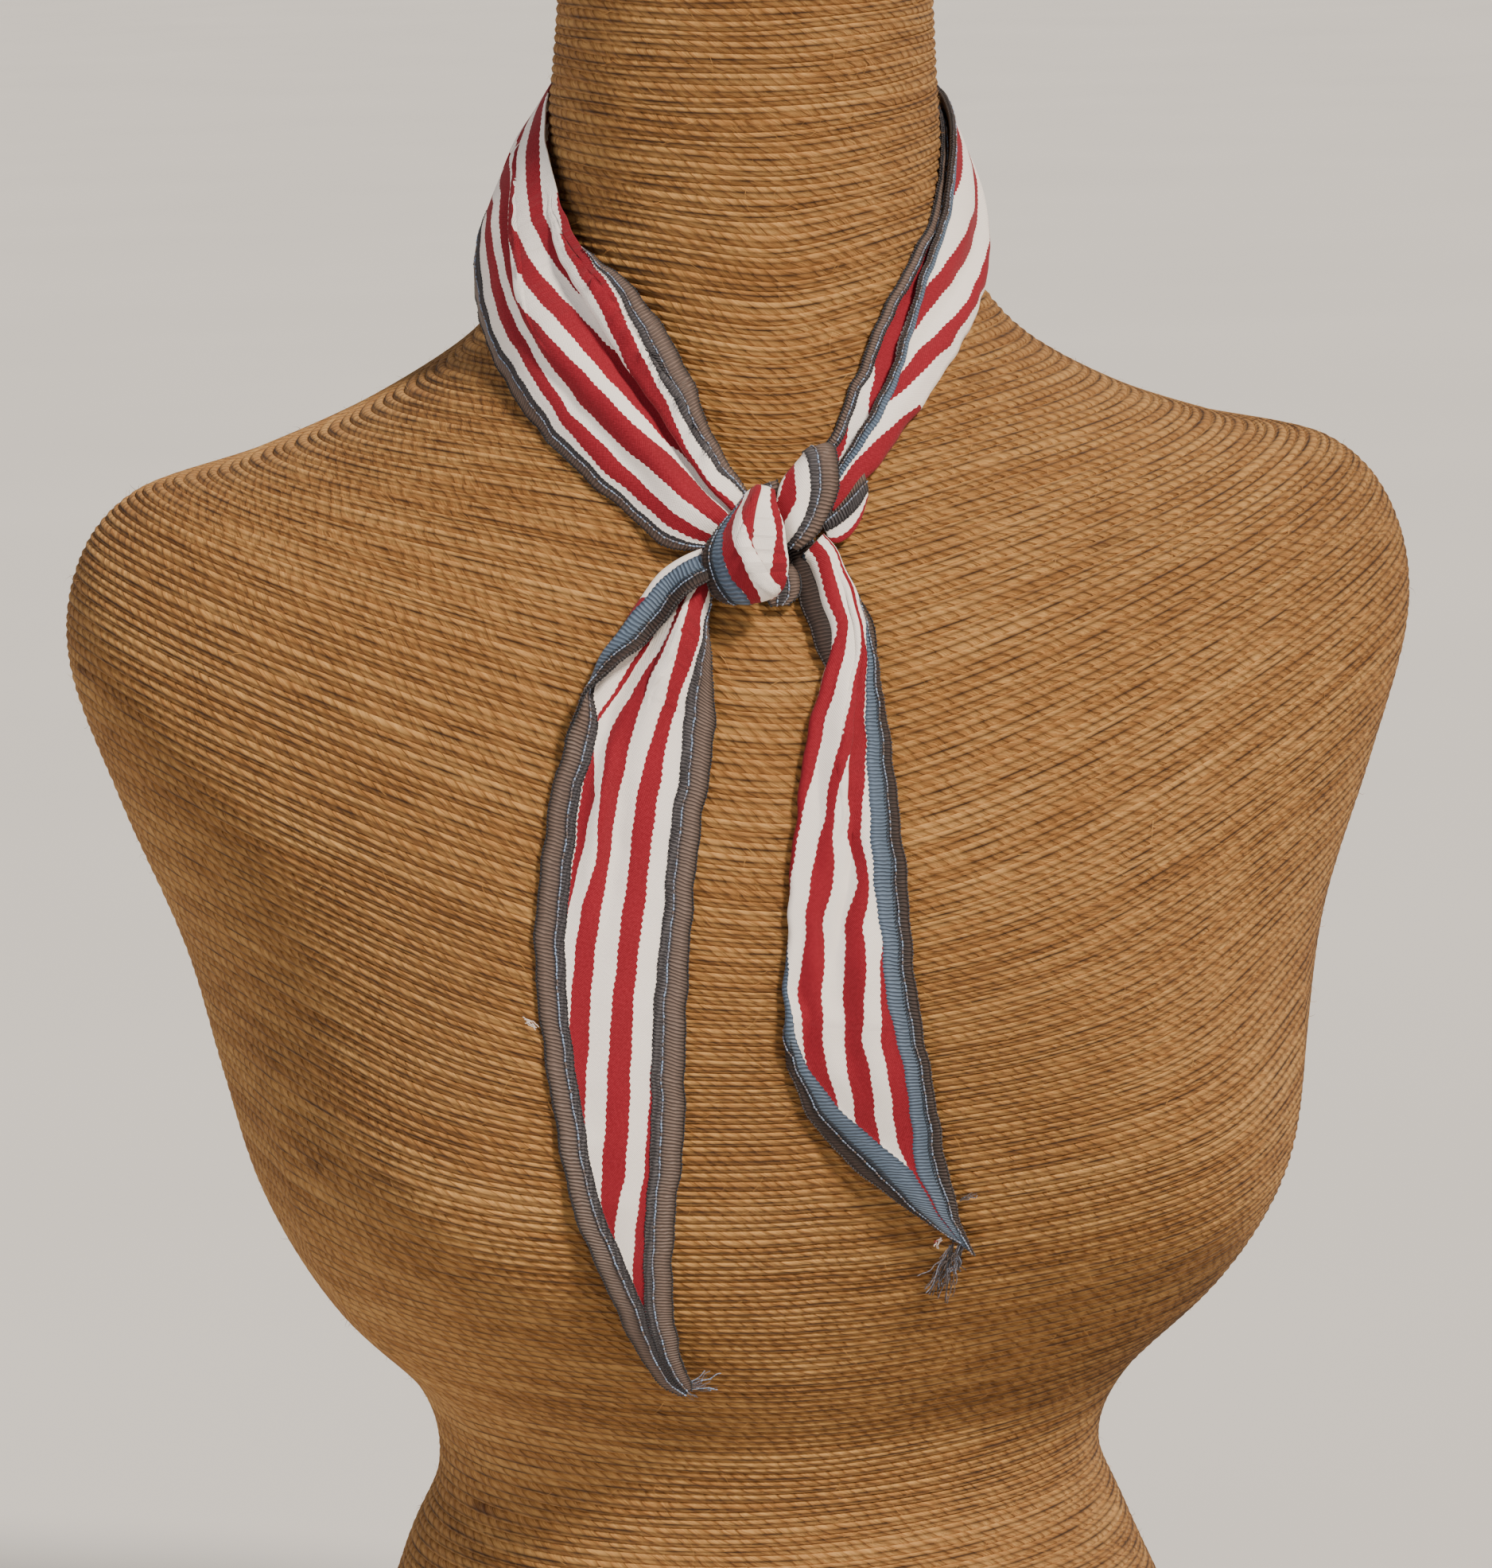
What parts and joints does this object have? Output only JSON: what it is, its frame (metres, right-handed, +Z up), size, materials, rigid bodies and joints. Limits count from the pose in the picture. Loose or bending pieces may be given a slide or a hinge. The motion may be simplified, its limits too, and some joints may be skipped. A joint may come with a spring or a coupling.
{
  "type": "neck scarf, knotted, on a limbless dress form",
  "caption": "Narrow striped neck scarf with overlocked edges, tied in a single knot round the neck of a rope-wound limbless dress form, its pointed tails hanging down the chest.",
  "frame": {"origin": "middle of the form's flat underside, where it rests", "axes": "+Z up; the form and the knot face -Y; +X is to the viewer's right"},
  "size_m": [0.3868, 0.2365, 0.616],
  "materials": {
    "rope": "golden twisted jute rope wound edge to edge, dry and fibrous, with dark glue streaks",
    "striped_cloth": "plain woven cotton with red and white lengthwise stripes, soft low sheen",
    "overlock_thread": "dense overlock stitching in taupe, slate blue and navy thread, satin"
  },
  "bodies": {
    "root": {"dress_form": "rope", "neck_left": "striped_cloth", "nape": "striped_cloth", "neck_right": "striped_cloth", "knot_wrap": "striped_cloth", "knot_lobe": "striped_cloth", "knot_back": "overlock_thread", "knot_stub": "striped_cloth", "tail_left": "striped_cloth", "tail_right": "striped_cloth"}
  },
  "joints": []
}
